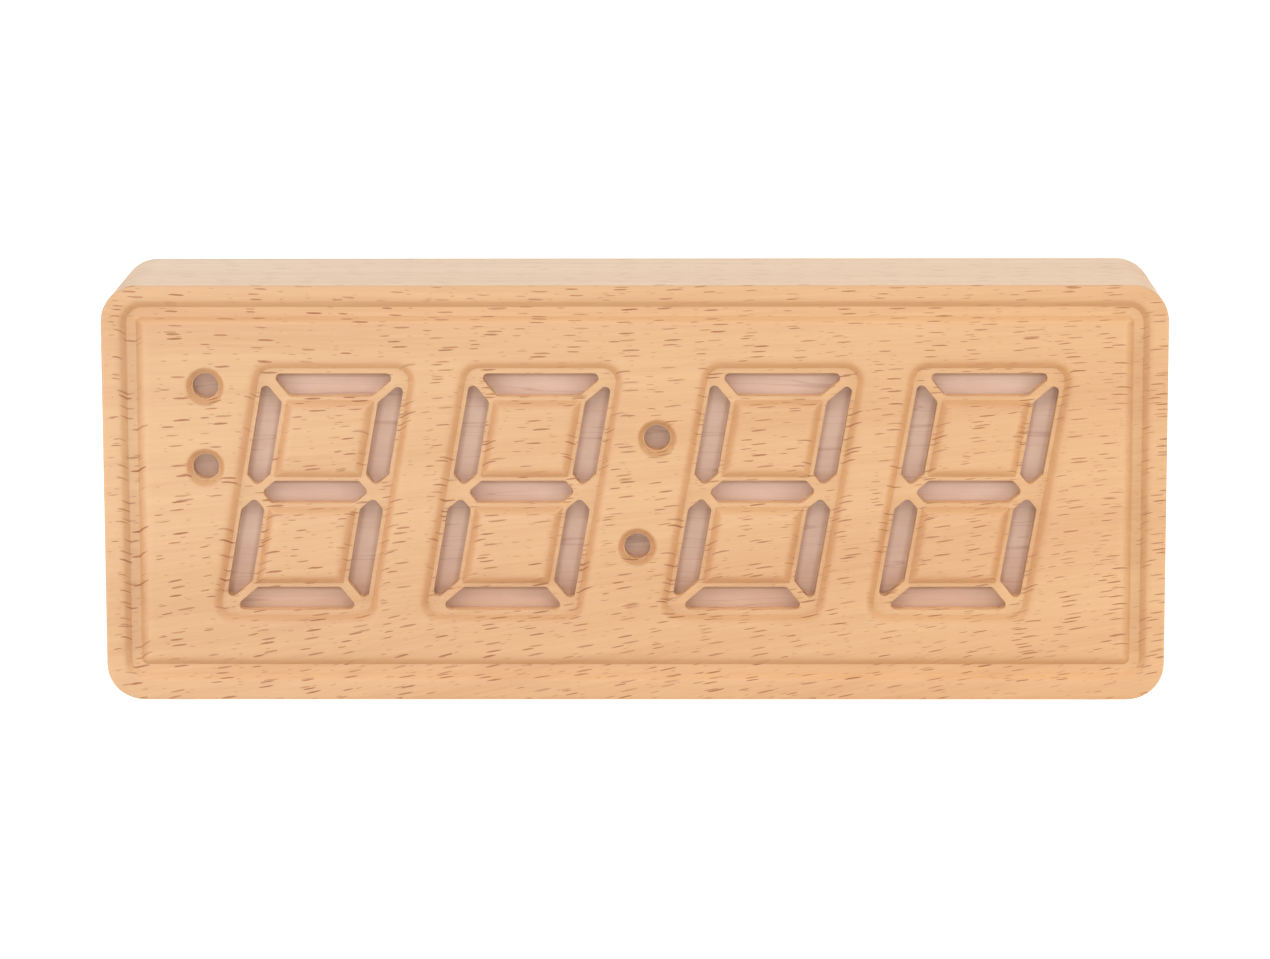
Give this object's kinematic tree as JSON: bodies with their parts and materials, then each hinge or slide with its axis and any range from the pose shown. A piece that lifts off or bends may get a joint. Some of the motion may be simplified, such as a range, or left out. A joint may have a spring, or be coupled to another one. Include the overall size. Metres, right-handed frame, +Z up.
{
  "type": "wooden alarm clock",
  "caption": "Wooden desk alarm clock: a rounded beech block with carved, slanted seven-segment digits lit through veneer, and a recessed rear cover with keys, slide switch and cell door.",
  "frame": {"origin": "on the table, under the middle of the block", "axes": "+Z up, +X along the width to the viewer's right, +Y from the face towards the back"},
  "size_m": [0.2, 0.04, 0.08],
  "materials": {
    "beech": "sanded and oiled, pores and rays visible",
    "veneer": "thin unoiled veneer",
    "opal_sheet": "opal, satin",
    "white_plastic": "moulded",
    "circuit_board": "solder mask",
    "led_body": "white housing with yellow lens",
    "zinc_steel": "zinc plated",
    "black_steel": "black oxide",
    "nickel": "nickel plated",
    "chip_black": "moulded",
    "capacitor_sleeve": "shrink sleeve",
    "ivory_plastic": "moulded",
    "flat_cable": "laminated film",
    "black_plastic": "fine spark-eroded texture",
    "key_plastic": "satin",
    "contact_brass": "tinned spring brass",
    "red_wire": "vinyl sleeve",
    "black_wire": "vinyl sleeve",
    "foot_rubber": "soft, matte"
  },
  "bodies": {
    "clock": {"case": "beech", "window_veneer": "veneer", "diffuser_sheet": "opal_sheet", "light_baffle": "white_plastic", "display_board": "circuit_board", "segment_leds": "led_body", "display_board_screws": "zinc_steel", "microcontroller": "chip_black", "led_drivers": "chip_black", "clock_chip": "chip_black", "crystal": "nickel", "board_capacitors": "capacitor_sleeve", "lead_headers": "ivory_plastic", "lead_plugs": "ivory_plastic", "ribbon_sockets": "ivory_plastic", "ribbon_cable": "flat_cable", "rear_cover": "black_plastic", "rear_cover_screws": "black_steel", "control_board": "circuit_board", "control_board_screws": "zinc_steel", "button_switches": "chip_black", "alarm_switch_body": "nickel", "usb_port_shell": "nickel", "usb_port_insert": "chip_black", "voltage_regulator": "chip_black", "input_capacitor": "nickel", "coin_cell_holder": "black_plastic", "holder_screws": "zinc_steel", "coin_cell": "nickel", "negative_contact": "contact_brass", "positive_contact": "contact_brass", "battery_lead": "red_wire", "buzzer": "chip_black", "buzzer_lead": "black_wire", "rubber_feet": "foot_rubber"},
    "set_key": {"set_button": "key_plastic", "set_plunger": "white_plastic"},
    "hour_key": {"hour_button": "key_plastic", "hour_plunger": "white_plastic"},
    "minute_key": {"minute_button": "key_plastic", "minute_plunger": "white_plastic"},
    "alarm_key": {"alarm_button": "key_plastic", "alarm_plunger": "white_plastic"},
    "alarm_slide": {"alarm_slider": "key_plastic", "alarm_switch_lever": "chip_black"},
    "cell_door": {"battery_door": "black_plastic"}
  },
  "joints": [
    {"name": "set_press", "type": "slide", "parent": "clock", "child": "set_key", "axis": [0, -1, 0], "range_m": [0, 0.0005], "stiffness_N_per_m": 1200},
    {"name": "hour_press", "type": "slide", "parent": "clock", "child": "hour_key", "axis": [0, -1, 0], "range_m": [0, 0.0005], "stiffness_N_per_m": 1200},
    {"name": "minute_press", "type": "slide", "parent": "clock", "child": "minute_key", "axis": [0, -1, 0], "range_m": [0, 0.0005], "stiffness_N_per_m": 1200},
    {"name": "alarm_press", "type": "slide", "parent": "clock", "child": "alarm_key", "axis": [0, -1, 0], "range_m": [0, 0.0005], "stiffness_N_per_m": 1200},
    {"name": "alarm_switch", "type": "slide", "parent": "clock", "child": "alarm_slide", "axis": [-1, 0, 0], "range_m": [0, 0.003]},
    {"name": "door_turn", "type": "hinge", "parent": "clock", "child": "cell_door", "pos_m": [-0.062, 0.017, 0.0404], "axis": [0, 1, 0], "range_deg": [0, 45]}
  ]
}
